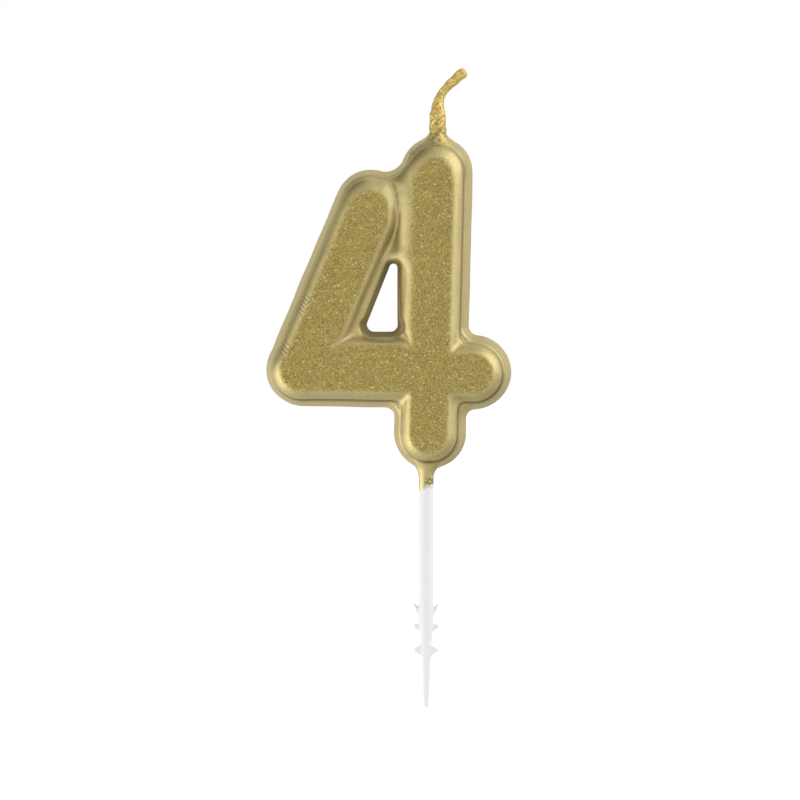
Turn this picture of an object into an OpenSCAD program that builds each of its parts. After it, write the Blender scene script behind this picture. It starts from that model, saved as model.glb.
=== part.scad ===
// Number candle: a cast wax figure 4 with a bent wick, on a barbed cake pick.
// Front faces -Y, +X is to the right seen from the front, +Z is up.
// The origin is on the pick's axis, level with the figure's lowest point, where the cake's top comes.

/* [Figure outline] */
// Half width of the upright stroke
stem_r = 7.7; // [7.5:0.1:7.9]
// Half width of the slanting stroke
slant_r = 7.8; // [7.6:0.1:8.0]
// Half width of the cross stroke
bar_r = 7.9; // [7.7:0.1:8.1]
// Height from the figure's lowest to its highest point, without the necks
figure_h = 70; // [69:0.5:71]
// Distance sideways from the pick's axis to the middle of the stem's lower end
stem_low_x = 0.7; // [0.4:0.1:1.0]
// Distance sideways from the pick's axis to the middle of the stem's upper end
stem_top_x = 2.1; // [1.8:0.1:2.4]
// Height of the cross stroke's centre line at its left end
bar_z = 21.1; // [20.8:0.1:21.4]
// Drop of the cross stroke's centre line from left to right
bar_drop = 0.6; // [0.3:0.1:0.9]
// Reach of the cross stroke's centre line to the left of the pick's axis
bar_left = 26; // [25.5:0.1:26.5]
// Reach of the cross stroke's centre line to the right of the pick's axis
bar_right = 10; // [9.8:0.1:10.4]
// Distance sideways from the pick's axis to the upper end of the slant's centre line
slant_left = 11.6; // [11.4:0.1:11.8]
// Height of the upper end of the slant's centre line
slant_top_z = 55.4; // [55.0:0.1:55.8]
// Radius of the hollow between the heads of the slant and the stem
notch_r = 3.8; // [3.0:0.1:4.0]
// Radius of the hollows where the cross stroke passes the stem
corner_r = 1.9; // [1.4:0.1:2.2]

/* [Figure section] */
// Depth of the rim that runs round the figure, from the flat back
rim_t = 4.6; // [4.4:0.1:5.4]
// How far the rim's wall slopes in over its depth
rim_draft = 1.3; // [0.8:0.1:1.4]
// Width of the flat ledge between the rim's wall and the raised face
ledge_w = 0.3; // [0.2:0.1:0.5]
// Height of the raised face over the ledge
face_h = 4.2; // [3.0:0.1:4.6]
// Width of the raised face's rounded slope
face_w = 2.5; // [2.0:0.1:2.9]

/* [Counter] */
// Height of the counter's lowest point
counter_z = 29.15; // [29.1:0.05:29.5]
// Height of the counter, from its lowest to its highest point
counter_h = 14.1; // [13.5:0.1:14.4]
// Width of the counter at its foot
counter_w = 6.2; // [5.9:0.1:6.4]
// Distance from the pick's axis to the counter's right wall
counter_right = 6.2; // [6.1:0.1:6.4]
// Radius of the counter's two lower corners
counter_r = 1.4; // [1.2:0.1:1.6]
// Radius of the counter's top corner
counter_top_r = 0.75; // [0.65:0.05:0.85]
// How far the counter's wall slopes out over the rim's depth
counter_draft = 0.8; // [0.4:0.1:0.9]

/* [Wick] */
// Distance sideways from the pick's axis to the wick
wick_x = 2.4; // [2.0:0.1:2.6]
// Height of the wick's lower end inside the wax
wick_foot_z = 22; // [20:1:40]
// Radius of the wick with its wax coat, inside the wax and at its bend
wick_r = 1.2; // [1.15:0.05:1.3]
// Radius of the thick wax coat just above the figure
wick_thick_r = 1.7; // [1.5:0.1:1.8]
// Height at which the wick starts to bend
bend_z = 75.5; // [75:0.1:76.5]
// Radius of the wick's bend
bend_r = 6.8; // [6:0.1:8]
// Angle through which the wick bends to the right
bend_deg = 48; // [30:1:55]
// Length of the straight end after the bend
tip_len = 4.8; // [4:0.2:7]
// Length of bare cotton at the cut end
bare_len = 0.5; // [0.3:0.1:1.0]
// Radius of one cotton ply
ply_r = 0.38; // [0.34:0.01:0.38]
// Length over which the plies make one turn
ply_pitch = 7; // [6:0.5:9]

/* [Pick] */
// Length of the pick below the figure
pick_len = 50; // [48:0.5:52]
// Radius of the pick's shaft
pick_r = 1.6; // [1.5:0.05:1.7]
// Length of the pick's anchor end inside the wax
anchor_len = 15; // [12:1:16]
// Radius of the two rings that hold the anchor end in the wax
ring_r = 2.0; // [1.9:0.05:2.05]
// Reach of the barbs from the pick's axis
barb_reach = 2.7; // [2.5:0.1:3.0]
// Thickness of a barb from front to back
barb_t = 1.2; // [0.8:0.1:1.6]

/* [Hidden] */
hull_fn = 32;          // sides of a circle inside a hull
round_fn = 64;         // sides of a turned shape
slice_t = 0.2;         // thickness of a slice inside a hull
over = 1;              // how far a cut runs past a face
back_y = rim_t / 2;    // the flat back
ledge_y = -rim_t / 2;  // the ledge at the front of the rim
dome_steps = 5;        // slices of the raised face's rounded slope
web_steps = 8;         // pieces of a hollow's arc

// Centres of the strokes' round ends, as [x, z]
stem_low = [stem_low_x, stem_r];
stem_top = [stem_top_x, figure_h - stem_r];
bar_l = [-bar_left, bar_z];
bar_r_end = [bar_right, bar_z - bar_drop];
slant_top = [-slant_left, slant_top_z];
STROKES = [
    [stem_low, stem_top, stem_r],
    [bar_l, slant_top, slant_r],
    [bar_l, bar_r_end, bar_r],
];

// Plane geometry of the hollows between the strokes
function unit(v) = v / norm(v);
function left_of(u) = [-u[1], u[0]];
function cross2(a, b) = a[0] * b[1] - a[1] * b[0];
// Where the line through p along u meets the line through q along v
function meet(p, u, q, v) = p + u * cross2(q - p, v) / cross2(u, v);
// The point on the line through p along u that is r from c, on the side that s, 1 or -1, gives
function reach(p, u, c, r, s) =
    let (t = (c - p) * u, foot = p + u * t)
    foot + u * s * sqrt(r * r - (c - foot) * (c - foot));
// The point that is ra from a and rb from b, to the left of the way from a to b
function apex(a, ra, b, rb) =
    let (d = norm(b - a), u = unit(b - a), t = (d * d + ra * ra - rb * rb) / (2 * d))
    a + u * t + left_of(u) * sqrt(ra * ra - t * t);

up = unit(stem_top - stem_low);
bar_u = unit(bar_r_end - bar_l);
stem_side = stem_r + corner_r;
bar_side = bar_r + corner_r;
right_line = stem_low - left_of(up) * stem_side;
left_line = stem_low + left_of(up) * stem_side;
low_line = bar_l - left_of(bar_u) * bar_side;
under_bulb = reach(right_line, up, bar_r_end, bar_side, -1);
over_bulb = reach(right_line, up, bar_r_end, bar_side, 1);
under_bar = meet(left_line, up, low_line, bar_u);
notch = apex(slant_top, slant_r + notch_r, stem_top, stem_r + notch_r);
// Each hollow as [its centre, its radius, the way to one tangent point, the way to the other]
HOLLOWS = [
    [under_bulb, corner_r, left_of(up), unit(bar_r_end - under_bulb)],
    [over_bulb, corner_r, unit(bar_r_end - over_bulb), left_of(up)],
    [under_bar, corner_r, left_of(bar_u), -left_of(up)],
    [notch, notch_r, unit(slant_top - notch), unit(stem_top - notch)],
];
// The inside of the figure, between the strokes' centre lines, and a little into the notch's web
INNER = [bar_l, [stem_low_x, bar_z], stem_top, (stem_top + slant_top) / 2 + [0, 1], slant_top];
web_root = 4;          // how far a web's root lies past where its two sides would meet

// Counter: centres of its three corners, as [x, z, radius at the back]
COUNTER = [
    [-counter_right - counter_top_r, counter_z + counter_h - counter_top_r, counter_top_r],
    [-counter_right - counter_r, counter_z + counter_r, counter_r],
    [-counter_right - counter_w + counter_r, counter_z + counter_r, counter_r],
];

// Necks: the rounded wax corners where the wick and the pick leave the figure
wick_neck_r = 2.2;     // radius of the corner round the wick
pick_neck_r = 1.3;     // radius of the corner round the pick
neck_skin = 0.15;      // wax round the pick at the neck's thin end
neck_root = 2;         // how far a neck reaches down inside the figure
neck_steps = 8;        // pieces of a corner's arc
// Height of the middle of a corner of radius c, over the figure's end, for a stem r1 thick
function neck_h(r1, c) = sqrt(pow(stem_r + c, 2) - pow(r1 + c, 2)) - stem_r;

// A thin slice of a stroke at depth y, with its ends r in radius
module slice(stroke, r, y) {
    for (end = [stroke[0], stroke[1]])
        translate([end[0], y, end[1]]) rotate([90, 0, 0])
            cylinder(r = r, h = slice_t, $fn = hull_fn);
}

// The rim's part of a stroke: flat back, sloping wall
module rim_stroke(stroke)
    hull() {
        slice(stroke, stroke[2], back_y);
        slice(stroke, stroke[2] - rim_draft, ledge_y + slice_t);
    }

// The raised face of a stroke, with a rounded slope all round
module raised_stroke(stroke) {
    foot_r = stroke[2] - rim_draft - ledge_w;
    hull() {
        slice(stroke, foot_r, 0);
        for (i = [0 : dome_steps]) {
            t = 90 * i / dome_steps;
            slice(stroke, foot_r - face_w * (1 - cos(t)), ledge_y - face_h * sin(t) + slice_t);
        }
    }
}

// A web's outline at depth y: its root, then the points of its arc round c
function web_ring(c, root, arc, r, y) = [
    [root[0], y, root[1]],
    for (a = arc) [c[0] + r * cos(a), y, c[1] + r * sin(a)]
];

// The rounded inner corner that fills a hollow between two strokes
module web(hollow) {
    mid = unit(hollow[2] + hollow[3]);
    root = hollow[0] + mid * ((hollow[1] + rim_draft) / (mid * hollow[2]) + web_root);
    a0 = atan2(hollow[2][1], hollow[2][0]);
    turn = acos(hollow[2] * hollow[3]) * sign(cross2(hollow[2], hollow[3]));
    arc = [for (i = [0 : web_steps]) a0 + turn * i / web_steps];
    n = web_steps + 2;
    faces = [
        for (i = [1 : n - 2]) [0, i, i + 1],
        for (i = [1 : n - 2]) [n, n + i + 1, n + i],
        for (i = [0 : n - 1]) [i, n + i, (i + 1) % n],
        for (i = [0 : n - 1]) [(i + 1) % n, n + i, n + (i + 1) % n],
    ];
    wound = turn > 0 ? [for (f = faces) [f[2], f[1], f[0]]] : faces;
    polyhedron(
        concat(
            web_ring(hollow[0], root, arc, hollow[1], back_y),
            web_ring(hollow[0], root, arc, hollow[1] + rim_draft, ledge_y)
        ),
        wound
    );
}

// The counter's tapered space, narrow at the back and wide at the front
module counter_space()
    hull()
        for (y = [back_y + over, ledge_y - over], c = COUNTER)
            translate([c[0], y, c[1]]) rotate([90, 0, 0])
                cylinder(r = c[2] + counter_draft * (back_y - y) / rim_t, h = slice_t, $fn = hull_fn);

// A neck that rises from the round end of the stem, at height 0, to a stem of radius r1
module neck(r1, c) {
    first = atan2(neck_h(r1, c) + stem_r, r1 + c) + 180;
    arc = [for (i = [0 : neck_steps]) first + (180 - first) * i / neck_steps];
    rotate_extrude($fn = round_fn)
        polygon([
            [0, -neck_root],
            [r1 + c + c * cos(first), -neck_root],
            for (a = arc) [r1 + c + c * cos(a), neck_h(r1, c) + c * sin(a)],
            [0, neck_h(r1, c)],
        ]);
}

// The pick's anchor end inside the wax
RING_AT = [0.45, 0.75]; // where the two rings start, as shares of the anchor's length
ring_rise = 0.5;       // length of a ring's slope
ring_flat = 0.5;       // length of a ring's top
anchor_edge = 0.4;     // bevel at the anchor's end
// The anchor's half outline, with its two rings: used for the pick and for its socket
function anchor_outline() = [
    [pick_r, 0],
    for (share = RING_AT)
        each [
            [pick_r, anchor_len * share],
            [ring_r, anchor_len * share + ring_rise],
            [ring_r, anchor_len * share + ring_rise + ring_flat],
            [pick_r, anchor_len * share + 2 * ring_rise + ring_flat],
        ],
    [pick_r, anchor_len - anchor_edge],
    [pick_r - anchor_edge, anchor_len],
    [0, anchor_len],
];

// Keeps a shape between the rim's two faces
module within_rim()
    intersection() {
        children();
        translate([-figure_h, ledge_y, -figure_h / 2])
            cube([2 * figure_h, rim_t, 2 * figure_h]);
    }

module wax_figure()
    color([0.60, 0.53, 0.30])
    difference() {
        union() {
            for (s = STROKES) rim_stroke(s);
            for (h = HOLLOWS) web(h);
            translate([0, back_y, 0]) rotate([90, 0, 0])
                linear_extrude(rim_t) polygon(INNER);
            for (s = STROKES) raised_stroke(s);
            within_rim() {
                translate([wick_x, 0, figure_h]) neck(wick_thick_r, wick_neck_r);
                rotate([180, 0, 0]) neck(pick_r + neck_skin, pick_neck_r);
            }
        }
        counter_space();
        translate([wick_x, 0, wick_foot_z]) cylinder(r = wick_r, h = figure_h, $fn = round_fn);
        rotate_extrude($fn = round_fn)
            polygon(concat([[0, -neck_root - over], [pick_r, -neck_root - over]], anchor_outline()));
    }

// Wick's course: straight up, round the bend, straight to the tip. s is the length along it
bend_len = bend_r * bend_deg * PI / 180;
straight_len = bend_z - wick_foot_z;
wick_len = straight_len + bend_len + tip_len;
function wick_angle(s) = min(max((s - straight_len) / bend_len, 0), 1) * bend_deg;
function wick_at(s) =
    let (a = wick_angle(s), rise = min(s, straight_len), past = max(s - straight_len - bend_len, 0))
    [
        wick_x + bend_r * (1 - cos(a)) + past * sin(a),
        0,
        wick_foot_z + rise + bend_r * sin(a) + past * cos(a),
    ];
// A point beside the wick's course, r out from it at the angle t
function beside_wick(s, r, t) =
    let (a = wick_angle(s))
    wick_at(s) + r * cos(t) * [cos(a), 0, -sin(a)] + r * sin(t) * [0, 1, 0];

// Wax coat, as a tube round the plies: [length along the wick, outer radius] of each of its rings
coat_in_r = 1.0;       // inside of the coat, clear of the plies
coat_sides = 16;
bend_steps = 8;
coat_len = wick_len - bare_len;
neck_end = figure_h + neck_h(wick_thick_r, wick_neck_r) - wick_foot_z;
thick_len = 1.5;       // length of the thickest stretch, over the neck
bend_start_less = 0.1; // how much thinner the coat is where the bend starts
tip_edge = 0.4;        // length of the coat's rounded end
COAT = [
    [0, wick_r],
    [neck_end, wick_r],
    [neck_end, wick_thick_r],
    [neck_end + thick_len, wick_thick_r],
    for (i = [0 : bend_steps])
        let (left = max(0, 1 - 2 * i / bend_steps), more = wick_thick_r - bend_start_less - wick_r)
        [straight_len + bend_len * i / bend_steps, wick_r + more * left],
    [coat_len - tip_edge, wick_r],
    [coat_len, (wick_r + coat_in_r) / 2],
];

module wick_wax_coat() {
    rings = concat(
        COAT,
        [
            for (i = [len(COAT) - 1 : -1 : 0])
                if (i == 0 || COAT[i][0] > COAT[i - 1][0])
                    [COAT[i][0], coat_in_r]
        ]
    );
    m = len(rings);
    n = coat_sides;
    color([0.80, 0.67, 0.30])
        polyhedron(
            [for (ring = rings, i = [0 : n - 1]) beside_wick(ring[0], ring[1], 360 * i / n)],
            [
                for (k = [0 : m - 1], i = [0 : n - 1])
                    let (a = k * n + i, b = k * n + (i + 1) % n, up_k = (k + 1) % m * n)
                    each [[a, up_k + i, b], [b, up_k + i, up_k + (i + 1) % n]]
            ]
        );
}

// Cotton plies: twisted tubes that wind round the wick's course
ply_sides = 6;
ply_offset = 0.55;     // from the wick's course to a ply's middle
rings_per_turn = 8;
ply_rings = ceil(wick_len / ply_pitch * rings_per_turn) + 1;

module wick_ply(k) {
    n = ply_sides;
    last = (ply_rings - 1) * n;
    color([0.86, 0.76, 0.48])
        polyhedron(
            [
                for (j = [0 : ply_rings - 1])
                    let (s = wick_len * j / (ply_rings - 1), t = 360 * s / ply_pitch + 120 * k)
                    let (a = wick_angle(s))
                    for (i = [0 : n - 1])
                        beside_wick(s, ply_offset, t)
                        + ply_r * cos(360 * i / n) * [cos(a), 0, -sin(a)]
                        + ply_r * sin(360 * i / n) * [0, 1, 0]
            ],
            [
                for (i = [1 : n - 2]) [0, i, i + 1],
                for (i = [1 : n - 2]) [last, last + i + 1, last + i],
                for (j = [0 : ply_rings - 2], i = [0 : n - 1])
                    let (a = j * n + i, b = j * n + (i + 1) % n)
                    each [[a, a + n, b], [b, a + n, b + n]]
            ]
        );
}
module wick_ply_1() wick_ply(0);
module wick_ply_2() wick_ply(1);
module wick_ply_3() wick_ply(2);

// Pick: half outline of the shaft below the figure, tapering to a blunt point
SHAFT = [
    [0, -pick_len],
    [0.35, -pick_len],
    [0.6, -pick_len + 0.6],
    [0.8, -pick_len + 4.6],
    [1.05, -pick_len + 10.3],
    [1.3, -pick_len + 14.3],
    [pick_r, -pick_len + 18.5],
    [pick_r, 0],
];
// Barbs on the right side, as [x, height over the point]: a thorn, a lump and a leaf
THORN = [
    [0, 19.9], [1.0, 19.9], [1.6, 20.3], [barb_reach - 0.4, 21.9],
    [barb_reach, 22.3], [barb_reach, 21.7], [1.5, 18.7], [0, 18.7],
];
LUMP = [
    [0, 17.8], [1.6, 17.9], [barb_reach - 0.5, 17.8], [barb_reach, 17.2],
    [barb_reach - 0.4, 16.5], [1.4, 15.8], [0, 15.8],
];
LEAF = [
    [0, 13.9], [0.8, 13.9], [1.4, 13.6], [barb_reach - 0.4, 12.9],
    [barb_reach, 12.2], [barb_reach - 0.4, 11.5], [1.2, 10.3], [0, 10.3],
];

module barb(outline)
    translate([0, barb_t / 2, -pick_len]) rotate([90, 0, 0])
        linear_extrude(barb_t) polygon(outline);

module cake_pick()
    color([0.93, 0.92, 0.91]) {
        rotate_extrude($fn = round_fn) polygon(concat(SHAFT, anchor_outline()));
        for (side = [0, 1], outline = [THORN, LUMP, LEAF])
            mirror([side, 0, 0]) barb(outline);
    }

wax_figure();
wick_wax_coat();
wick_ply_1();
wick_ply_2();
wick_ply_3();
cake_pick();
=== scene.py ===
import math

import bpy
import numpy as np
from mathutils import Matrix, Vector


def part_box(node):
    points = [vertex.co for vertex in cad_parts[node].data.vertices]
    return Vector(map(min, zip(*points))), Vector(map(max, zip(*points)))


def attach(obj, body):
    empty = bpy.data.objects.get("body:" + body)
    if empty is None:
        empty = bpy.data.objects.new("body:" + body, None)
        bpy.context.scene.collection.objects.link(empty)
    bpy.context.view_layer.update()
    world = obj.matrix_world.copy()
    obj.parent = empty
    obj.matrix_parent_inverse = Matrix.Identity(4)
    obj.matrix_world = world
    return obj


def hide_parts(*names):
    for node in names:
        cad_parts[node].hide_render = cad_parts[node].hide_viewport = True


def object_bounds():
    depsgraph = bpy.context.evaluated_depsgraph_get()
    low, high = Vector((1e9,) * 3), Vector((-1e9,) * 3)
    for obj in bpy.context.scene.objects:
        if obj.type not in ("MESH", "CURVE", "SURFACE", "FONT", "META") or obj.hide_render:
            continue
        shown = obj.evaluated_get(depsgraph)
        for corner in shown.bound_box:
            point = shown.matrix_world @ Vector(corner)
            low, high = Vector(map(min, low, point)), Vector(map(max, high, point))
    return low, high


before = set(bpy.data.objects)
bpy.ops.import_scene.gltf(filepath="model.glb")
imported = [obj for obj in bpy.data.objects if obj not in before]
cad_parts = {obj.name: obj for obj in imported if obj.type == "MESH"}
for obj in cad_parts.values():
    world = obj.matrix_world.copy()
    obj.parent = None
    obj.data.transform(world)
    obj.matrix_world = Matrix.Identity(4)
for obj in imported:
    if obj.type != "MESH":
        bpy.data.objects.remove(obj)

# The number candle's looks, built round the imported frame. Shapes are worked out in millimetres, as fields
# that are negative inside, and become meshes in metres. Front faces -Y, +X is to the right, +Z is up.
CAD_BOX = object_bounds()
MM = 0.001


def box_mm(node):
    """Lowest and highest corner of a CAD node, in millimetres."""
    low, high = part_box(node)
    return np.array(low) / MM, np.array(high) / MM


FIG_LOW, FIG_HIGH = box_mm("wax_figure")
COAT_LOW = box_mm("wick_wax_coat")[0]
PICK_LOW, PICK_HIGH = box_mm("cake_pick")

# ---------------------------------------------------------------- the figure's dimensions

FIGURE_H = 70.0  # from the figure's lowest to its highest point, without the necks
STEM_R = 7.7
SLANT_R = 7.8
BAR_R = 7.9
NOTCH_R = 3.8
CORNER_R = 1.9
RIM_T = 4.6
RIM_DRAFT = 1.4
LEDGE_W = 0.45
BACK_Y = FIG_HIGH[1]
LEDGE_Y = BACK_Y - RIM_T
FACE_Y = FIG_LOW[1]
FACE_H = LEDGE_Y - FACE_Y

STEM_LOW = (0.7, STEM_R)
STEM_TOP = (2.1, FIGURE_H - STEM_R)
BAR_LEFT = (FIG_LOW[0] + BAR_R, 21.1)
BAR_RIGHT = (FIG_HIGH[0] - BAR_R, 20.5)
SLANT_TOP = (-11.6, 55.4)

WICK_X = 2.4
WICK_THICK_R = 1.7
BEND_Z = 75.5
BEND_R = 6.8
BEND_DEG = 48
TIP_LEN = 4.8
PICK_R = 1.6


# ---------------------------------------------------------------- plane geometry

def unit(v):
    v = np.array(v, float)
    return v / np.linalg.norm(v)


def left_of(v):
    return np.array([-v[1], v[0]])


def cross2(a, b):
    return a[0] * b[1] - a[1] * b[0]


def to_segment(x, z, a, b):
    """Distance from points to the segment a-b."""
    along = np.array(b, float) - np.array(a, float)
    t = ((x - a[0]) * along[0] + (z - a[1]) * along[1]) / (along @ along)
    t = np.clip(t, 0, 1)
    return np.hypot(x - a[0] - t * along[0], z - a[1] - t * along[1])


def in_wedge(dx, dz, one, other):
    """True where (dx, dz) points between the directions one and other."""
    turn = np.sign(cross2(one, other))
    after = (one[0] * dz - one[1] * dx) * turn >= 0
    before = (dx * other[1] - dz * other[0]) * turn >= 0
    return after & before


def step(low, high, v):
    """Smooth step from 0 at low to 1 at high."""
    t = np.clip((v - low) / (high - low), 0, 1)
    return t * t * (3 - 2 * t)


def soft_max(a, b, k):
    return np.maximum(a, b) + np.maximum(k - np.abs(a - b), 0) ** 2 / (4 * k)


def soft_min(a, b, k):
    return -soft_max(-a, -b, k)


def round_both(a, b, r):
    """Where a and b are both negative, with the edge between them rounded to the radius r."""
    a, b = a + r, b + r
    return np.minimum(np.maximum(a, b), 0) + np.hypot(np.maximum(a, 0), np.maximum(b, 0)) - r


def reach(p, u, c, r, side):
    """The point on the line through p along u that is r from c, on the given side."""
    foot = p + u * ((c - p) @ u)
    return foot + u * side * math.sqrt(r * r - (c - foot) @ (c - foot))


def apex(a, ra, b, rb):
    """The point that is ra from a and rb from b, to the left of the way from a to b."""
    d = np.linalg.norm(b - a)
    u = unit(b - a)
    t = (d * d + ra * ra - rb * rb) / (2 * d)
    return a + u * t + left_of(u) * math.sqrt(ra * ra - t * t)


def meet(p, u, q, v):
    return p + u * cross2(q - p, v) / cross2(u, v)


def find_hollows():
    """The rounded hollows of the outline, each as its centre, radius and two tangent directions."""
    stem_low, stem_top, bar_left, bar_right, slant_top = map(
        np.array, (STEM_LOW, STEM_TOP, BAR_LEFT, BAR_RIGHT, SLANT_TOP)
    )
    up = unit(stem_top - stem_low)
    bar_u = unit(bar_right - bar_left)
    stem_side = STEM_R + CORNER_R
    bar_side = BAR_R + CORNER_R
    right_line = stem_low - left_of(up) * stem_side
    left_line = stem_low + left_of(up) * stem_side
    low_line = bar_left - left_of(bar_u) * bar_side
    under_bulb = reach(right_line, up, bar_right, bar_side, -1)
    over_bulb = reach(right_line, up, bar_right, bar_side, 1)
    under_bar = meet(left_line, up, low_line, bar_u)
    notch = apex(slant_top, SLANT_R + NOTCH_R, stem_top, STEM_R + NOTCH_R)
    return [
        (under_bulb, CORNER_R, left_of(up), unit(bar_right - under_bulb)),
        (over_bulb, CORNER_R, unit(bar_right - over_bulb), left_of(up)),
        (under_bar, CORNER_R, left_of(bar_u), -left_of(up)),
        (notch, NOTCH_R, unit(slant_top - notch), unit(stem_top - notch)),
    ]


HOLLOWS = find_hollows()
WEB_DEPTH = 5.0  # how far behind its arc a hollow's web is taken as solid
# The inside of the figure, between the strokes' centre lines, counterclockwise
INNER = [
    BAR_LEFT,
    (STEM_LOW[0], BAR_LEFT[1]),
    STEM_TOP,
    ((STEM_TOP[0] + SLANT_TOP[0]) / 2, (STEM_TOP[1] + SLANT_TOP[1]) / 2 + 1),
    SLANT_TOP,
]


def in_polygon(x, z, points):
    """Field of a convex outline given counterclockwise."""
    field = np.full(x.shape, -1e3)
    for a, b in zip(points, points[1:] + points[:1]):
        out = -left_of(unit(np.subtract(b, a)))
        field = np.maximum(field, (x - a[0]) * out[0] + (z - a[1]) * out[1])
    return field


def outline(x, z):
    """Distance outside the figure's outline at its back, with the counter still filled."""
    field = np.minimum(to_segment(x, z, STEM_LOW, STEM_TOP) - STEM_R, in_polygon(x, z, INNER))
    field = np.minimum(field, to_segment(x, z, BAR_LEFT, SLANT_TOP) - SLANT_R)
    field = np.minimum(field, to_segment(x, z, BAR_LEFT, BAR_RIGHT) - BAR_R)
    for centre, radius, one, other in HOLLOWS:
        dx, dz = x - centre[0], z - centre[1]
        far = np.hypot(dx, dz)
        web = in_wedge(dx, dz, one, other) & (far < radius + WEB_DEPTH)
        field = np.where(web, np.minimum(field, radius - far), field)
    return field


# Counter: its three corners at the back, counterclockwise, as (x, z, radius)
COUNTER = [(-7.6, 30.55, 1.4), (-6.95, 42.5, 0.75), (-11.0, 30.55, 1.4)]
COUNTER_DRAFT = 0.5  # how far its wall slopes out over the rim's depth


def tangent_out(a, b):
    """Outward direction of the line that touches two corner circles on their right, going from a to b."""
    along = np.array([b[0] - a[0], b[1] - a[1]])
    d = np.linalg.norm(along)
    u = along / d
    lean = (a[2] - b[2]) / d
    return -left_of(u) * math.sqrt(1 - lean * lean) + u * lean


def counter(x, z):
    """Distance outside the counter's outline at the back."""
    outs = [tangent_out(a, b) for a, b in zip(COUNTER, COUNTER[1:] + COUNTER[:1])]
    field = np.full(x.shape, -1e3)
    for (cx, cz, r), out in zip(COUNTER, outs):
        field = np.maximum(field, (x - cx) * out[0] + (z - cz) * out[1] - r)
    for i, (cx, cz, r) in enumerate(COUNTER):
        dx, dz = x - cx, z - cz
        field = np.where(in_wedge(dx, dz, outs[i - 1], outs[i]), np.hypot(dx, dz) - r, field)
    return field


# ---------------------------------------------------------------- the figure's field

FOOT = RIM_DRAFT + LEDGE_W  # from a stroke's outline to the foot of its raised face
SLOPE_W = 2.6  # from the foot to the edge of the flat top, across a quarter of an ellipse
CREASE = 0.35  # how softly the raised faces run into each other, as a share of SLOPE_W
HEAD_FILLET = 1.2  # how much softer the crease is on top of the stem
RIM_ROUND = 0.5  # rounding of the rim's front edge
FILL = 0.9  # how far the slant's raised face fills in towards the counter
VALLEY_W = 2.7  # how much wider the stem's slope is in the valley over the counter
BESIDE_W = 1.2  # how much wider the stem's slope is beside the counter
HEAD_W = 1.2  # how much wider the slopes are on the upper ends of the stem and the slant
WEB_H = 2.0  # height of the web between the strokes, over the ledge
WEB_SINK = 1.0  # how much lower the web is in the valley over the counter
WEB_IN = 0.9  # how far the web stays inside the foot of the slopes
NOTCH = (-6.3, 57.5)  # under the notch between the heads, where the web is fuller
SLANT_U = unit(np.subtract(SLANT_TOP, BAR_LEFT))
SLANT_SIDE = -left_of(SLANT_U) * FILL


def on_slant(z):
    """The point of the slant's centre line at the height z, moved towards the counter."""
    t = (z - BAR_LEFT[1]) / SLANT_U[1]
    return tuple(np.array(BAR_LEFT) + SLANT_U * t + SLANT_SIDE)


# Raised strokes as (one end, other end, radius): the three strokes, and two that fill in towards
# the counter
RAISED = [
    (STEM_LOW, STEM_TOP, STEM_R),
    (BAR_LEFT, SLANT_TOP, SLANT_R),
    (BAR_LEFT, BAR_RIGHT, BAR_R),
    (on_slant(31), on_slant(53), SLANT_R),
    ((-16.5, BAR_LEFT[1] + 1.2), (-5.5, BAR_LEFT[1] + 1.1), BAR_R),
]


def valley(stroke, x, z):
    """1 on the side of the stem (stroke 0) that faces the valley over the counter, and 0 elsewhere."""
    return step(41.5, 46.0, z) * step(66.0, 60.0, z) * step(0.0, -2.5, x) if stroke == 0 else 0


def beside_counter(stroke, z):
    """1 on the stem beside the counter, where its slope reaches further to the left."""
    return step(27.0, 30.0, z) * step(47.5, 43.5, z) if stroke == 0 else 0


def head(stroke, z):
    """1 on the upper ends of the stem and the slant, where the flat top stops lower."""
    return (step(59.5, 65.0, z), step(54.0, 59.5, z), 0, 0, 0)[stroke]


def slope_share(x, z):
    """0 at the edge of the flat top, 1 at the foot of the slope, and more beyond it."""
    share = None
    for i, (a, b, r) in enumerate(RAISED):
        beside = beside_counter(i, z) * step(0.0, -2.5, x)
        foot = r - FOOT + VALLEY_W * valley(i, x, z) + BESIDE_W * beside
        top = r - FOOT - SLOPE_W - HEAD_W * head(i, z)
        own = (to_segment(x, z, a, b) - top) / (foot - top)
        share = own if i == 0 else soft_min(share, own, CREASE)
    return share


def drip(dx, y, z, r, thin, end, fade):
    """Wax round a stick: r thick at fade, inside the figure, and thin at its far end."""
    way = 1 if end > fade else -1
    t = np.clip((z - fade) / (end - fade), 0, 1)
    across = np.hypot(dx, y) - (r + (thin - r) * t * t)
    return np.maximum(across, (z - end) * way) + np.maximum((fade - z) * way, 0)


LOW_DRAFT = 0.4  # how much more the counter's lower wall slopes out
COUNTER_ROUND = 0.9  # how softly the counter's wall turns into the face
BACK_SINK = 0.25  # how far the poured back has sunk in the middle
# Comb-like ripples on the slant's outer slope, as (x, z, length)
RIPPLES = [(-25.2, 34.6, 3.0), (-29.2, 25.4, 1.6)]
RIPPLE_PITCH = 0.8
RIPPLE_H = 0.13
# The small wax necks, as (radius at the figure, radius at the end, height of the end, height of the start)
PICK_NECK = (PICK_R + 0.12, PICK_R - 0.12, -2.8, 2)
WICK_NECK = (WICK_THICK_R - 0.1, 0.8, FIGURE_H + 3.5, FIGURE_H - 3)
PICK_NECK_BLEND = 2.5
WICK_NECK_BLEND = 3.2
BACK_ROUND = 0.35  # rounding of the edge between the back and the rim


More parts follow.
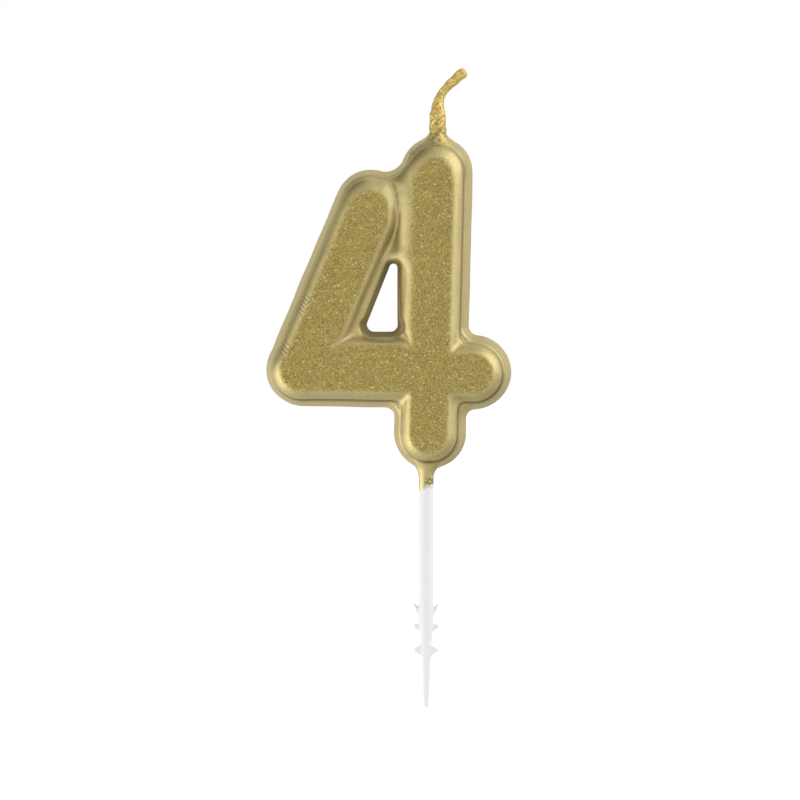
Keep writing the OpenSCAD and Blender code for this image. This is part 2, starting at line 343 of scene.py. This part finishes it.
def ripples(x, z):
    """Height of the ripples that the mould has left on the slant's outer slope."""
    total = 0
    for at_x, at_z, length in RIPPLES:
        along = (x - at_x) * SLANT_U[0] + (z - at_z) * SLANT_U[1]
        across = (x - at_x) * SLANT_U[1] - (z - at_z) * SLANT_U[0]
        near = step(length, 0.6 * length, np.abs(along)) * step(1.8, 1.0, np.abs(across))
        total = total + near * np.sin(2 * math.pi * (along + 0.35 * across) / RIPPLE_PITCH)
    return RIPPLE_H * total


def waves(x, z):
    """Slight unevenness of the cast wax."""
    return 0.035 * (np.sin(0.55 * x + 0.8 * np.sin(0.31 * z)) + np.sin(0.62 * z + 1.1 * np.sin(0.27 * x)))


def figure(p):
    x, y, z = p[:, 0], p[:, 1], p[:, 2]
    edge = outline(x, z) + waves(x, z)
    hole = counter(x, z)
    depth = BACK_Y - y
    rim = round_both(edge + RIM_DRAFT * depth / RIM_T, LEDGE_Y - y, RIM_ROUND)
    share = slope_share(x, z) + (waves(z, x) - ripples(x, z)) / SLOPE_W
    height = np.maximum(LEDGE_Y - y, 0) / FACE_H
    raised = (np.hypot(np.maximum(share, 0), height) - 1) * SLOPE_W
    notch = step(5.5, 2.5, np.hypot(x - NOTCH[0], z - NOTCH[1]))
    web_h = WEB_H - WEB_SINK * step(43.5, 49.0, z) * step(58.0, 54.5, z)
    web = soft_max(edge + FOOT + WEB_IN * (1 - 1.2 * notch), LEDGE_Y - y - web_h, 0.8)
    raised = soft_min(raised, web, 1.2 + 1.6 * notch)
    field = soft_min(rim, raised, 0.35 + HEAD_FILLET * step(62.0, 67.0, z))
    field = soft_min(field, drip(x, y, z, *PICK_NECK), PICK_NECK_BLEND)
    field = soft_min(field, drip(x - WICK_X, y, z, *WICK_NECK), WICK_NECK_BLEND)
    draft = COUNTER_DRAFT + LOW_DRAFT * step(32.5, 30.0, z)
    field = soft_max(field, draft * np.clip(depth, 0, None) / RIM_T - hole, COUNTER_ROUND)
    return round_both(field, y - BACK_Y + BACK_SINK * step(-0.5, -5.0, edge), BACK_ROUND)


# ---------------------------------------------------------------- meshing a field

CORNERS = [(i, j, k) for i in (0, 1) for j in (0, 1) for k in (0, 1)]
EDGES = [
    (a, b) for a in CORNERS for b in CORNERS
    if sum(b) == sum(a) + 1 and all(q >= p for p, q in zip(a, b))
]


def sample(field, axes):
    """The field on a grid, worked out slab by slab."""
    out = np.empty([len(a) for a in axes])
    for i, x in enumerate(axes[0]):
        y, z = np.meshgrid(axes[1], axes[2], indexing="ij")
        points = np.column_stack([np.full(y.size, x), y.ravel(), z.ravel()])
        out[i] = field(points).reshape(y.shape)
    return out


def slope(field, p, h=0.02):
    """Gradient of the field by differences."""
    out = np.empty_like(p)
    for i in range(3):
        move = np.zeros(3)
        move[i] = h
        out[:, i] = (field(p + move) - field(p - move)) / (2 * h)
    return out


def settle(field, p, cell, rounds=3):
    """Moves points on to the field's surface, by less than a cell."""
    start = p.copy()
    for _ in range(rounds):
        g = slope(field, p)
        away = field(p)[:, None] * g / np.maximum((g * g).sum(1), 0.05)[:, None]
        p = start + np.clip(p - away - start, -0.6 * cell, 0.6 * cell)
    return p


def net(field, low, high, cell):
    """Vertices and quads of the field's surface, one vertex for each grid cell that it passes through."""
    axes = [np.arange(a - 1.5 * cell, b + 2.5 * cell, cell) for a, b in zip(low, high)]
    value = sample(field, axes)
    inside = value < 0
    size = [len(a) - 1 for a in axes]
    total = np.zeros(size + [3])
    count = np.zeros(size)
    for a, b in EDGES:
        cut_a = tuple(slice(i, i + n) for i, n in zip(a, size))
        cut_b = tuple(slice(i, i + n) for i, n in zip(b, size))
        crosses = inside[cut_a] != inside[cut_b]
        va, vb = value[cut_a], value[cut_b]
        t = np.where(crosses, va / np.where(crosses, va - vb, 1), 0)
        for axis in range(3):
            total[..., axis] += crosses * (a[axis] + (b[axis] - a[axis]) * t)
        count += crosses
    cells = np.argwhere(count > 0)
    at = tuple(cells.T)
    points = (cells + total[at] / count[at][:, None]) * cell + np.array([a[0] for a in axes])
    number = np.full(size, -1)
    number[at] = np.arange(len(cells))
    return settle(field, points, cell), quads(inside, number)


def quads(inside, number):
    """One quad for each grid edge that crosses the surface, wound to face outwards."""
    found = []
    for axis in range(3):
        other = [(axis + 1) % 3, (axis + 2) % 3]
        a = inside.take(range(inside.shape[axis] - 1), axis)
        b = inside.take(range(1, inside.shape[axis]), axis)
        for flip, mask in ((False, a & ~b), (True, ~a & b)):
            e = np.argwhere(mask)
            ring = []
            for d0, d1 in ((-1, -1), (0, -1), (0, 0), (-1, 0)):
                c = e.copy()
                c[:, other[0]] += d0
                c[:, other[1]] += d1
                ring.append(number[tuple(c.T)])
            found.append(np.column_stack(ring[::-1] if flip else ring))
    return np.concatenate(found)


def make_piece(name, points, faces, node):
    """A smooth-shaded piece from points in millimetres, which stands for a CAD node."""
    mesh = bpy.data.meshes.new(name)
    mesh.from_pydata((points * MM).tolist(), [], faces.tolist() if hasattr(faces, "tolist") else faces)
    mesh.validate()
    mesh.shade_smooth()
    piece = bpy.data.objects.new(name, mesh)
    bpy.context.scene.collection.objects.link(piece)
    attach(piece, "root")
    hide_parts(node)
    return piece


def mark(piece, name, values):
    """A number on each vertex, for the material to read."""
    attribute = piece.data.attributes.new(name, "FLOAT", "POINT")
    attribute.data.foreach_set("value", np.asarray(values, np.float32))


# ---------------------------------------------------------------- node helpers

class Shader:
    """Adds nodes to a material or world in short lines."""

    def __init__(self, owner):
        owner.use_nodes = True
        self.tree = owner.node_tree
        self.tree.nodes.clear()

    def node(self, kind, **inputs):
        made = self.tree.nodes.new("ShaderNode" + kind)
        for name, value in inputs.items():
            self.give(made, name.replace("_", " "), value)
        return made

    def give(self, made, name, value):
        socket = made.inputs[name] if not name.isdigit() else made.inputs[int(name)]
        if isinstance(value, bpy.types.NodeSocket):
            self.tree.links.new(value, socket)
        elif isinstance(value, (tuple, list)) and len(value) == 3 and socket.type == "RGBA":
            socket.default_value = (*value, 1)
        else:
            socket.default_value = value

    def math(self, what, a, b=0.0, clamp=False):
        made = self.tree.nodes.new("ShaderNodeMath")
        made.operation = what
        made.use_clamp = clamp
        self.give(made, "0", a)
        self.give(made, "1", b)
        return made.outputs[0]

    def vector(self, what, a, b=(0, 0, 0)):
        made = self.tree.nodes.new("ShaderNodeVectorMath")
        made.operation = what
        self.give(made, "0", a)
        self.give(made, "Scale" if what == "SCALE" else "1", b)
        return made.outputs["Value" if what in ("DOT_PRODUCT", "LENGTH", "DISTANCE") else "Vector"]

    def ramp(self, value, low, high):
        """0 to 1, smoothly, as value goes from low to high."""
        made = self.tree.nodes.new("ShaderNodeMapRange")
        made.interpolation_type = "SMOOTHSTEP"
        self.give(made, "Value", value)
        made.inputs["From Min"].default_value = low
        made.inputs["From Max"].default_value = high
        return made.outputs["Result"]

    def blend(self, share, a, b):
        """Colour a where share is 0 and b where it is 1."""
        made = self.tree.nodes.new("ShaderNodeMix")
        made.data_type = "RGBA"
        self.give(made, "0", share)
        self.give(made, "6", a)
        self.give(made, "7", b)
        return made.outputs[2]

    def between(self, share, a, b):
        """Number a where share is 0 and b where it is 1."""
        made = self.tree.nodes.new("ShaderNodeMix")
        self.give(made, "0", share)
        self.give(made, "2", a)
        self.give(made, "3", b)
        return made.outputs[0]

    def noise(self, at, size_mm, detail=2.0, rough=0.5):
        """Noise from 0 to 1 whose features are about size_mm across."""
        made = self.node("TexNoise", Vector=at, Scale=1 / (size_mm * MM), Detail=detail, Roughness=rough)
        return made.outputs["Fac"]

    def place(self):
        return self.node("TexCoord").outputs["Object"]


# ---------------------------------------------------------------- materials

def flakes(s, at, size_mm, lean):
    """A normal that each small flake of the lacquer tilts its own way, by up to lean."""
    cells = s.node("TexVoronoi", Vector=at, Scale=1 / (size_mm * MM))
    tilt = s.vector("SUBTRACT", cells.outputs["Color"], (0.5, 0.5, 0.5))
    normal = s.node("NewGeometry").outputs["Normal"]
    return s.vector("NORMALIZE", s.vector("ADD", normal, s.vector("SCALE", tilt, lean)))


def read(s, name):
    """A number that mark() put on the mesh."""
    made = s.node("Attribute")
    made.attribute_name = name
    return made.outputs["Fac"]


def chance(s, at, size_mm):
    """A random number from 0 to 1 for each small cell."""
    cells = s.node("TexVoronoi", Vector=at, Scale=1 / (size_mm * MM))
    return s.node("SeparateColor", Color=cells.outputs["Color"]).outputs["Red"]


def near(s, at, x, z, inner, outer):
    """1 within inner of the line through (x, z) along Y, and 0 beyond outer, in millimetres."""
    flat = s.vector("MULTIPLY", at, (1, 0, 1))
    away = s.vector("DISTANCE", flat, (x * MM, 0, z * MM))
    return s.ramp(away, outer * MM, inner * MM)


def gold_wax():
    material = bpy.data.materials.new("gold_wax")
    s = Shader(material)
    at = s.place()
    grain = s.noise(at, 0.30, 2, 0.6)
    cloud = s.noise(at, 9, 2)
    ragged = s.math("MULTIPLY", s.math("SUBTRACT", s.noise(at, 0.5, 2), 0.5), 0.7)
    top = s.ramp(s.math("ADD", read(s, "flat_top"), ragged), 0.10, 0.95)
    root = near(s, at, WICK_X, FIGURE_H + 1.5, 2.2, 4.2)
    mottle = s.blend(s.ramp(s.noise(at, 0.9, 2), 0.40, 0.60), (0.26, 0.205, 0.065), (0.54, 0.425, 0.15))
    deep = s.blend(cloud, (0.306, 0.240, 0.064), (0.338, 0.262, 0.077))
    # Painted sheen: away from the flat top the gold is paler and whiter, standing in for the sheen that the
    # slopes catch
    slope_sheen = s.blend(cloud, (0.43, 0.360, 0.160), (0.45, 0.375, 0.170))
    base = s.blend(top, slope_sheen, deep)
    base = s.blend(s.math("MULTIPLY", root, 0.85), base, mottle)
    spread = s.math("MAXIMUM", s.between(top, 0.25, 0.95), s.math("MULTIPLY", root, 1.3))
    mix = s.math("ADD", s.math("MULTIPLY", chance(s, at, 0.23), 0.7), s.math("MULTIPLY", grain, 0.6))
    uneven = s.math("MULTIPLY", s.math("SUBTRACT", mix, 0.65), spread)
    base = s.vector("SCALE", base, s.math("ADD", 1.0, uneven))
    bright = s.math("MULTIPLY", s.ramp(chance(s, at, 0.3), 0.955, 0.98), s.between(top, 0.15, 0.45))
    base = s.blend(bright, base, (0.80, 0.68, 0.36))
    front = s.ramp(s.node("SeparateXYZ", Vector=at).outputs["Y"], 1.5 * MM, -0.5 * MM)
    spots = s.math("MULTIPLY", s.ramp(s.noise(at, 0.6, 2), 0.47, 0.57), front)
    brown = s.math("MULTIPLY", near(s, at, -2.6, 66.8, 0.8, 3.2), spots)
    base = s.blend(s.math("MULTIPLY", brown, 0.7), base, (0.16, 0.085, 0.035))
    # Painted shade: a dull olive band along the foot of the upper left slopes, which face away from the
    # light
    base = s.blend(s.math("MULTIPLY", read(s, "painted_olive_shade"), 0.75), base, (0.185, 0.155, 0.042))
    # Painted shade: the crease round the raised face is darkened, most on the side that faces SHADE_WAY
    base = s.blend(s.math("MULTIPLY", read(s, "painted_crease_shade"), 0.85), base, (0.13, 0.085, 0.028))
    normal = flakes(s, at, 0.22, s.between(top, 0.10, 0.32))
    bump = s.node("Bump", Strength=0.3, Distance=0.0001, Height=grain, Normal=normal)
    shader = s.node("BsdfPrincipled", Base_Color=base, Metallic=1.0, Roughness=0.5, Normal=bump.outputs[0])
    s.give(shader, "Specular Tint", (1.0, 0.93, 0.72))
    s.give(shader, "Coat Weight", 0.35)
    s.give(shader, "Coat Roughness", 0.32)
    s.tree.links.new(shader.outputs[0], s.node("OutputMaterial").inputs["Surface"])
    return material


def counter_shade_wax():
    """The counter's wall: dull, and painted dark for the shade inside the counter."""
    material = bpy.data.materials.new("counter_shade_wax")
    s = Shader(material)
    at = s.place()
    # Painted shade: a dark olive colour for the shaded wall of the counter
    base = s.blend(s.noise(at, 0.5, 3, 0.6), (0.22, 0.175, 0.065), (0.30, 0.245, 0.095))
    shader = s.node("BsdfPrincipled", Base_Color=base, Metallic=0.0, Roughness=0.8)
    s.give(shader, "Specular IOR Level", 0.05)
    s.tree.links.new(shader.outputs[0], s.node("OutputMaterial").inputs["Surface"])
    return material


def wick_gold(name, deep, bright):
    material = bpy.data.materials.new(name)
    s = Shader(material)
    at = s.place()
    grain = s.noise(at, 0.5, 3, 0.65)
    height = s.node("SeparateXYZ", Vector=at).outputs["Z"]
    fewer = s.between(s.ramp(height, 76 * MM, 80 * MM), 1.0, 0.5)
    flecks = s.math("MULTIPLY", s.ramp(grain, 0.58, 0.36), fewer)
    base = s.blend(flecks, bright, deep)
    base = s.vector("SCALE", base, s.between(s.ramp(height, 70.3 * MM, 73.5 * MM), 0.62, 1.0))
    normal = flakes(s, at, 0.25, 0.4)
    bump = s.node("Bump", Strength=0.5, Distance=0.0002, Height=grain, Normal=normal)
    shader = s.node("BsdfPrincipled", Base_Color=base, Metallic=0.9, Roughness=0.45, Normal=bump.outputs[0])
    s.give(shader, "Coat Weight", 0.3)
    s.give(shader, "Coat Roughness", 0.2)
    s.tree.links.new(shader.outputs[0], s.node("OutputMaterial").inputs["Surface"])
    return material


def pick_plastic():
    material = bpy.data.materials.new("pick_plastic")
    s = Shader(material)
    at = s.place()
    parts = s.node("SeparateXYZ", Vector=at)
    height = parts.outputs["Z"]
    across = parts.outputs["X"]
    ragged = s.math("MULTIPLY", s.math("SUBTRACT", s.noise(at, 0.8, 3, 0.6), 0.5), 0.0030)
    line = s.math("SUBTRACT", s.math("ADD", height, ragged), s.math("MULTIPLY", across, 0.35))
    sprayed = s.ramp(line, -0.0044, -0.0028)
    gold = s.blend(s.noise(at, 0.6, 3, 0.6), (0.36, 0.31, 0.14), (0.56, 0.50, 0.28))
    patch = s.math("MULTIPLY", near(s, at, 0.8, -2.4, 0.5, 1.4), s.ramp(s.noise(at, 0.5, 2), 0.40, 0.55))
    gold = s.blend(patch, gold, (0.16, 0.125, 0.03))
    white = s.blend(s.noise(at, 6, 2), (0.655, 0.645, 0.635), (0.68, 0.67, 0.66))
    base = s.blend(sprayed, white, gold)
    bump = s.node("Bump", Strength=0.15, Distance=0.0001, Height=s.noise(at, 0.7, 2))
    rough = s.between(sprayed, 0.60, 0.45)
    shader = s.node("BsdfPrincipled", Base_Color=base, Metallic=sprayed, Roughness=rough)
    s.give(shader, "Normal", bump.outputs[0])
    s.give(shader, "Specular IOR Level", 0.15)
    s.tree.links.new(shader.outputs[0], s.node("OutputMaterial").inputs["Surface"])
    return material


# ---------------------------------------------------------------- the pieces

SHADE_WAY = unit((0.6, -0.8))  # the painted crease shade is darkest on the side that faces this way
OLIVE_SHADE_WAY = unit((-0.75, 0.66))  # the painted shade, a dull olive band, runs along the slopes that face this way
CREASE_SHADE_W = 0.14  # half width of the painted crease shade, as a share of SLOPE_W
FIGURE_CELL = 0.30  # size of the figure's mesh cells


def slope_facing(x, z, way):
    """-1 to 1: how much the slopes face the way given."""
    h = 0.05
    across = slope_share(x + h, z) - slope_share(x - h, z)
    up = slope_share(x, z + h) - slope_share(x, z - h)
    return (across * way[0] + up * way[1]) / np.maximum(np.hypot(across, up), 1e-6)


def painted_crease_shade_depth(x, z, share):
    """How dark the painted shade in the crease round the raised face is: 0 away from it, and up to 1 in it.
    """
    outer = step(-FOOT - 1.5, -FOOT - 0.7, outline(x, z))
    depth = np.clip(0.5 + 0.5 * slope_facing(x, z, SHADE_WAY), 0.12, 1)
    return outer * depth * np.exp(-((share - 1.04) / CREASE_SHADE_W) ** 2)


def painted_olive_shade_depth(x, z, share):
    """How strong the painted shade is that runs as a dull band along the foot of the upper left slopes."""
    outer = step(-FOOT - 3.5, -FOOT - 2.0, outline(x, z))
    facing = step(0.60, 0.97, slope_facing(x, z, OLIVE_SHADE_WAY))
    return outer * facing * np.exp(-((share - 0.86) / 0.24) ** 2)


def make_figure(gold, dull):
    low = (FIG_LOW[0], FACE_Y, -3.0)
    high = (FIG_HIGH[0], BACK_Y, FIGURE_H + 4.0)
    points, faces = net(figure, low, high, FIGURE_CELL)
    piece = make_piece("figure_body", points, faces, "wax_figure")
    x, y, z = points.T
    share = slope_share(x, z)
    on_face = step(LEDGE_Y - 0.2, LEDGE_Y - 1.2, y)
    mark(piece, "flat_top", step(0.62, -0.05, share) * on_face)
    # Painted shade in the crease at the foot of the raised face
    at_foot = step(LEDGE_Y - 2.6, LEDGE_Y - 0.8, y) * step(0.8, -1.2, y)
    mark(piece, "painted_crease_shade", painted_crease_shade_depth(x, z, share) * at_foot)
    # Painted shade: the dull olive band on the upper left slopes
    mark(piece, "painted_olive_shade", painted_olive_shade_depth(x, z, share) * step(LEDGE_Y + 0.3, LEDGE_Y - 0.3, y))
    piece.data.materials.append(gold)
    piece.data.materials.append(dull)
    # Faces on the counter's wall get the painted shade material
    reach_up = 0.75 + 0.55 * step(32.5, 30.0, z)
    in_counter = (counter(x, z) < reach_up) & (y > FACE_Y + 1.2)
    piece.data.polygons.foreach_set("material_index", in_counter[faces].all(1).astype(np.int32))
    return piece


# Wick's course: straight up, round the bend, straight to the tip
PLY_PITCH = 7.0  # length over which the plies make one turn
TIP_ROUND = 0.9  # length of the rounded tip
BEND = math.radians(BEND_DEG)
BEND_LEN = BEND_R * BEND
FOOT_Z = COAT_LOW[2]
STRAIGHT_LEN = BEND_Z - FOOT_Z
WICK_LEN = STRAIGHT_LEN + BEND_LEN + TIP_LEN


def beside_wick(s, r, t):
    """Points beside the wick's course, s along it and r out from it at the angle t."""
    a = np.clip((s - STRAIGHT_LEN) / BEND_LEN, 0, 1) * BEND
    past = np.maximum(s - STRAIGHT_LEN - BEND_LEN, 0)
    out = r * np.cos(t)
    return np.stack([
        WICK_X + BEND_R * (1 - np.cos(a)) + past * np.sin(a) + out * np.cos(a),
        r * np.sin(t),
        FOOT_Z + np.minimum(s, STRAIGHT_LEN) + BEND_R * np.sin(a) + past * np.cos(a) - out * np.sin(a),
    ], axis=-1)


def tube_faces(rings, sides):
    """Quads of a tube, and a cap at each end."""
    faces = []
    for j in range(rings - 1):
        for i in range(sides):
            a, b = j * sides + i, j * sides + (i + 1) % sides
            faces.append((a, b, b + sides, a + sides))
    last = (rings - 1) * sides
    faces.append(tuple(range(sides))[::-1])
    faces.append(tuple(range(last, last + sides)))
    return faces


# Outer radius of the wick's wax coat, as (height along the wick, radius)
COAT_HEIGHTS = [0, 69.5, 71.5, 74.4, 76.4, 78.3, 80.0, 82.0, 84.0, 100]
COAT_RADII = [1.2, 1.6, 1.78, 1.68, 1.28, 0.95, 0.88, 0.98, 1.07, 1.07]


def coat_radius(s, t):
    """Outer radius of the coat: thick and lumpy at its foot, ridged by the twist, rounded at the tip."""
    over = s + FOOT_Z
    base = np.interp(over, COAT_HEIGHTS, COAT_RADII)
    ridge = 0.05 * np.cos(3 * (t - 2 * math.pi * s / PLY_PITCH))
    lump = 0.06 * np.sin(2.1 * s + 1.3 * np.cos(t + 0.7 * s)) * np.cos(t - 0.9 * s)
    small = 0.025 * np.sin(7.3 * s + 3 * t) * np.cos(5.1 * s - 2 * t)
    left = np.clip((s - (WICK_LEN - TIP_ROUND)) / TIP_ROUND, 0, 0.985)
    return (base + (ridge + lump + small) * step(70.0, 71.5, over)) * np.sqrt(1 - left ** 2.6)


def make_coat(material):
    sides = 48
    hidden = np.arange(0, 46, 1.0)
    shown = np.arange(46, WICK_LEN - TIP_ROUND, 0.13)
    tip = WICK_LEN - TIP_ROUND * (1 - np.sin(np.linspace(0, math.pi / 2, 10)))
    s = np.concatenate([hidden, shown, tip])
    t = np.arange(sides) * 2 * math.pi / sides
    ss, tt = np.meshgrid(s, t, indexing="ij")
    points = beside_wick(ss, coat_radius(ss, tt), tt).reshape(-1, 3)
    piece = make_piece("wick_coat_skin", points, tube_faces(len(s), sides), "wick_wax_coat")
    piece.data.materials.append(material)
    return piece


YARN_OUT = 0.45  # from the wick's middle to a ply's
YARN_R = 0.33


def make_yarn(k, material):
    sides = 12
    s = np.arange(0, WICK_LEN, 0.25)
    turn = 2 * math.pi * (s / PLY_PITCH + k / 3)
    middle = beside_wick(s, YARN_OUT, turn)
    a = np.clip((s - STRAIGHT_LEN) / BEND_LEN, 0, 1) * BEND
    side = np.stack([np.cos(a), 0 * a, -np.sin(a)], -1)
    front = np.array([0, 1, 0])
    t = np.arange(sides) * 2 * math.pi / sides
    r = YARN_R * np.minimum(1, 0.35 + (WICK_LEN - s) / 0.6)
    ring = r[:, None] * (1 + 0.08 * np.cos(4 * t[None, :] + 3 * s[:, None]))
    points = (
        middle[:, None, :]
        + (ring * np.cos(t))[..., None] * side[:, None, :]
        + (ring * np.sin(t))[..., None] * front
    ).reshape(-1, 3)
    faces = tube_faces(len(s), sides)
    piece = make_piece(f"wick_yarn_{k + 1}", points, faces, f"wick_ply_{k + 1}")
    piece.data.materials.append(material)
    return piece


# Pick: half outline of the shaft as (height, radius)
PICK_LEN = -PICK_LOW[2]
ANCHOR = PICK_HIGH[2]
SHAFT = [
    (0, 0.42),
    (0.6, 0.56),
    (4.6, 0.8),
    (10.3, 1.02),
    (14.3, 1.27),
    (18.5, 1.58),
    (PICK_LEN, PICK_R),
    (PICK_LEN + ANCHOR, PICK_R),
]
RINGS = [0.45 * ANCHOR + 0.75, 0.75 * ANCHOR + 0.75]
RING_R = 2.0
# Barbs as (inner x, inner height, inner radius, outer x, outer height, outer radius)
BARBS = [
    (1.25, 19.8, 0.55, 2.42, 21.6, 0.27),
    (1.2, 16.9, 0.85, 2.1, 17.1, 0.52),
    (0.9, 12.1, 1.35, 2.35, 12.1, 0.34),
]
BARB_T = 1.2
PICK_CELL = 0.16  # size of the pick's mesh cells


def pick(p):
    x, y, z = p[:, 0], p[:, 1], p[:, 2]
    up = z - PICK_LOW[2]
    heights, radii = zip(*SHAFT)
    across = np.hypot(x, y)
    r = np.interp(up, heights, radii)
    for ring in RINGS:
        r = r + (RING_R - PICK_R) * np.clip(1.5 - 2 * np.abs(z - ring), 0, 1)
    shaft = round_both(round_both(across - r, z - ANCHOR, 0.3), -up, 0.3)
    for x0, z0, r0, x1, z1, r1 in BARBS:
        along = np.array([x1 - x0, z1 - z0])
        t = np.clip(((np.abs(x) - x0) * along[0] + (up - z0) * along[1]) / (along @ along), 0, 1)
        flat = np.hypot(np.abs(x) - x0 - t * along[0], up - z0 - t * along[1]) - (r0 + (r1 - r0) * t)
        barb = round_both(flat, np.abs(y) - BARB_T / 2, 0.25)
        shaft = soft_min(shaft, barb, 0.35)
    return shaft


def make_pick(material):
    low = (-2.8, -2.1, PICK_LOW[2])
    high = (2.8, 2.1, PICK_HIGH[2])
    points, faces = net(pick, low, high, PICK_CELL)
    piece = make_piece("pick_body", points, faces, "cake_pick")
    piece.data.materials.append(material)
    return piece


# ---------------------------------------------------------------- studio

FRAME_W = 0.168  # width that the picture takes in at the object
CAMERA_D = 0.9
SENSOR = 36.0
LOOK_AT = Vector((-0.0055, 0, 0.0147))
YAW = math.radians(2.5)
RISE = math.radians(2.0)


def make_camera():
    data = bpy.data.cameras.new("camera")
    camera = bpy.data.objects.new("camera", data)
    bpy.context.scene.collection.objects.link(camera)
    data.sensor_width = SENSOR
    data.lens = SENSOR * CAMERA_D / FRAME_W
    data.clip_start = 0.01
    data.clip_end = 100
    back = Vector((math.sin(YAW) * math.cos(RISE), -math.cos(YAW) * math.cos(RISE), math.sin(RISE)))
    camera.location = LOOK_AT + back * CAMERA_D
    camera.rotation_mode = "QUATERNION"
    camera.rotation_quaternion = (-back).to_track_quat("-Z", "Y")
    bpy.context.scene.camera = camera


def make_softbox(name, way, distance, size, power):
    """A square light that faces the object from the direction way."""
    data = bpy.data.lights.new(name, "AREA")
    data.shape = "SQUARE"
    data.size = size
    data.energy = power
    light = bpy.data.objects.new(name, data)
    bpy.context.scene.collection.objects.link(light)
    middle = (CAD_BOX[0] + CAD_BOX[1]) / 2
    way = Vector(way).normalized()
    light.location = middle + way * distance
    light.rotation_mode = "QUATERNION"
    light.rotation_quaternion = way.to_track_quat("Z", "Y")
    light.visible_camera = False


def lobe(s, way, towards, edge, full):
    """1 in the directions near towards, 0 away from it. edge and full are cosines."""
    return s.ramp(s.vector("DOT_PRODUCT", way, Vector(towards).normalized()), edge, full)


def make_world():
    world = bpy.data.worlds.new("studio")
    bpy.context.scene.world = world
    s = Shader(world)
    way = s.node("TexCoord").outputs["Generated"]
    parts = s.node("SeparateXYZ", Vector=way)
    light = s.blend(s.ramp(parts.outputs["Y"], 0.20, 0.80), (1.00, 1.00, 1.00), (0.95, 0.95, 0.95))
    light = s.blend(lobe(s, way, (0.50, 0.40, -0.77), 0.70, 0.97), light, (0.62, 0.61, 0.60))
    light = s.blend(lobe(s, way, (-0.70, 0.00, 0.66), 0.60, 0.97), light, (0.62, 0.62, 0.62))
    seen = s.node("LightPath").outputs["Is Camera Ray"]
    shade = s.node("Background", Color=s.blend(seen, light, (1, 1, 1)))
    s.tree.links.new(shade.outputs[0], s.node("OutputWorld").inputs["Surface"])


def make_floor():
    size = 3.0
    z = PICK_LOW[2] * MM - 0.05
    mesh = bpy.data.meshes.new("floor")
    corners = [(-size, -size, z), (size, -size, z), (size, size, z), (-size, size, z)]
    mesh.from_pydata(corners, [], [(0, 1, 2, 3)])
    floor = bpy.data.objects.new("floor", mesh)
    bpy.context.scene.collection.objects.link(floor)
    material = bpy.data.materials.new("floor_paper")
    s = Shader(material)
    shader = s.node("BsdfPrincipled", Base_Color=(0.95, 0.95, 0.95), Roughness=0.9)
    s.give(shader, "Emission Color", (1, 1, 1))
    s.give(shader, "Emission Strength", 0.55)
    s.tree.links.new(shader.outputs[0], s.node("OutputMaterial").inputs["Surface"])
    mesh.materials.append(material)
    floor.visible_glossy = False
    floor.visible_diffuse = False
    floor.visible_shadow = False


def make_studio():
    make_camera()
    make_world()
    make_floor()
    make_softbox("softbox_right", (0.82, -0.15, 0.52), 0.8, 0.9, 4.6)
    make_softbox("softbox_left", (-0.89, -0.22, -0.32), 0.8, 0.9, 5.0)
    bpy.context.scene.view_settings.view_transform = "Standard"


make_studio()
make_figure(gold_wax(), counter_shade_wax())
make_coat(wick_gold("wick_wax", (0.26, 0.18, 0.04), (0.62, 0.46, 0.14)))
yarn = wick_gold("wick_cotton", (0.28, 0.20, 0.05), (0.62, 0.47, 0.17))
for ply in range(3):
    make_yarn(ply, yarn)
make_pick(pick_plastic())
